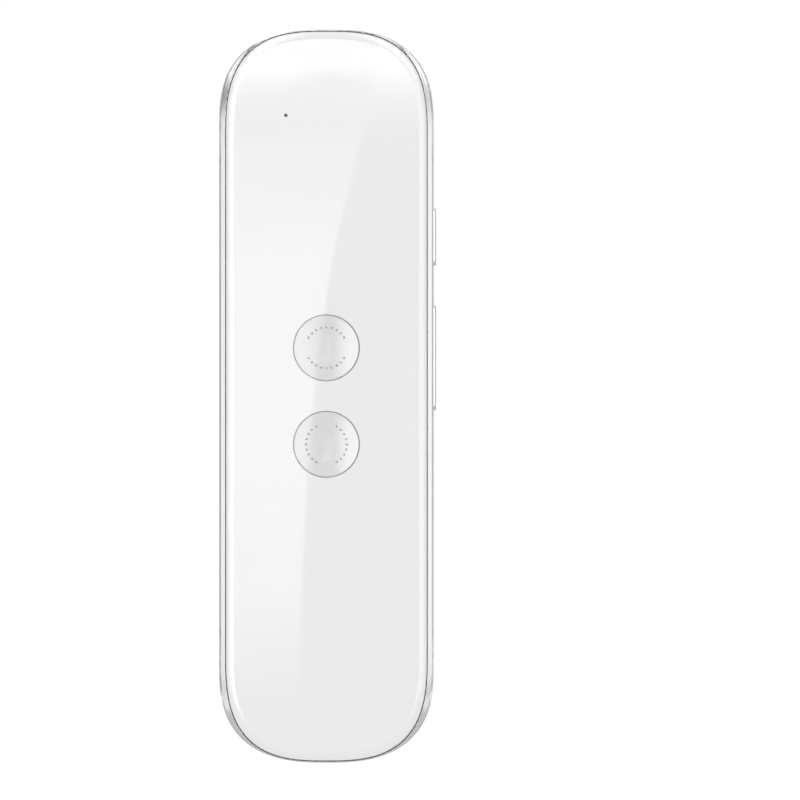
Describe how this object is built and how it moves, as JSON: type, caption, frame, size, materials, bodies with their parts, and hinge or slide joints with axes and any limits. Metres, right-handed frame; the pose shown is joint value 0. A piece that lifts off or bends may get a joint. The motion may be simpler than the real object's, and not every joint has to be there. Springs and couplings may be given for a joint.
{
  "type": "handheld voice translator",
  "caption": "Slim handheld voice translator: glossy white front with two round push buttons, domed metal back with speaker grille, side power key and volume rocker, USB-C socket.",
  "frame": {"origin": "middle of the body: halfway along its length, across its width and through its thickness", "axes": "+Z along the length, towards the speaker end; +Y out of the domed back; +X towards the side keys, right when seen from the front"},
  "size_m": [0.0418, 0.0124, 0.141],
  "materials": {
    "anodised_aluminium": "fine bead-blasted, clear anodised",
    "silver_ring": "satin silver with a bright bevel",
    "white_panel": "gloss white panel with rounded edges",
    "white_button": "satin gloss, dished",
    "key_metal": "anodised aluminium keys",
    "black_plastic": "moulded ABS",
    "switch_plastic": "moulded switch housings",
    "spring_steel": "stamped stainless steel",
    "circuit_board": "glass-fibre board with solder mask",
    "chip_epoxy": "moulded epoxy",
    "tin_plate": "tin-plated steel",
    "gold_plate": "gold-plated contacts",
    "adhesive_tape": "double-sided foam tape",
    "silicone_rubber": "soft silicone",
    "acoustic_mesh": "fine woven acoustic mesh",
    "battery_foil": "aluminium laminate pouch",
    "lead_insulation": "PVC-insulated stranded leads",
    "magnet_nickel": "nickel-plated magnet and yoke",
    "copper_coil": "enamelled copper wire",
    "connector_plastic": "moulded nylon"
  },
  "bodies": {
    "chassis": {"back_shell": "anodised_aluminium", "front_bezel": "silver_ring", "front_panel": "white_panel", "panel_seal": "silicone_rubber", "panel_tape": "adhesive_tape", "mid_frame": "black_plastic", "upper_switch_body": "switch_plastic", "lower_switch_body": "switch_plastic", "rocker_pin": "spring_steel", "power_switch_body": "switch_plastic", "volume_switch_bodies": "switch_plastic", "side_key_flex": "circuit_board", "key_bracket": "spring_steel", "usb_shell": "tin_plate", "usb_tongue": "black_plastic", "usb_contacts": "gold_plate", "reset_switch_body": "switch_plastic", "main_board": "circuit_board", "shield_can": "tin_plate", "processor_chip": "chip_epoxy", "memory_chip": "chip_epoxy", "charger_chip": "chip_epoxy", "power_inductor": "chip_epoxy", "battery_socket": "connector_plastic", "battery_plug": "connector_plastic", "microphone": "tin_plate", "mic_boot": "silicone_rubber", "antenna_flex": "circuit_board", "battery_cell": "battery_foil", "battery_tape": "adhesive_tape", "battery_protection_board": "circuit_board", "battery_leads": "lead_insulation", "speaker_frame": "black_plastic", "speaker_magnet": "magnet_nickel", "voice_coil": "copper_coil", "speaker_cone": "black_plastic", "speaker_mesh": "acoustic_mesh", "speaker_gasket": "silicone_rubber", "speaker_leads": "lead_insulation", "case_screws": "spring_steel", "board_screws": "spring_steel"},
    "upper_key": {"upper_button": "white_button", "upper_switch_plunger": "switch_plastic"},
    "lower_key": {"lower_button": "white_button", "lower_switch_plunger": "switch_plastic"},
    "power_key": {"power_button": "key_metal", "power_switch_plunger": "switch_plastic"},
    "volume_key": {"volume_rocker": "key_metal", "volume_switch_plungers": "switch_plastic"},
    "reset_key": {"reset_plunger": "switch_plastic"}
  },
  "joints": [
    {"name": "upper_button_press", "type": "slide", "parent": "chassis", "child": "upper_key", "axis": [0, 1, 0], "range_m": [0, 0.00035], "stiffness_N_per_m": 1500, "springref_m": -0.0005},
    {"name": "lower_button_press", "type": "slide", "parent": "chassis", "child": "lower_key", "axis": [0, 1, 0], "range_m": [0, 0.00035], "stiffness_N_per_m": 1500, "springref_m": -0.0005},
    {"name": "power_button_press", "type": "slide", "parent": "chassis", "child": "power_key", "axis": [-1, 0, 0], "range_m": [0, 0.0003], "stiffness_N_per_m": 1500, "springref_m": -0.0005},
    {"name": "volume_rocker_tilt", "type": "hinge", "parent": "chassis", "child": "volume_key", "pos_m": [0.0172, -0.0014, 0.0073], "axis": [0, 1, 0], "range_deg": [-1.7, 1.7], "stiffness_Nm_per_rad": 0.05},
    {"name": "reset_press", "type": "slide", "parent": "chassis", "child": "reset_key", "axis": [1, 0, 0], "range_m": [0, 0.0002], "stiffness_N_per_m": 1200, "springref_m": -0.0005}
  ]
}
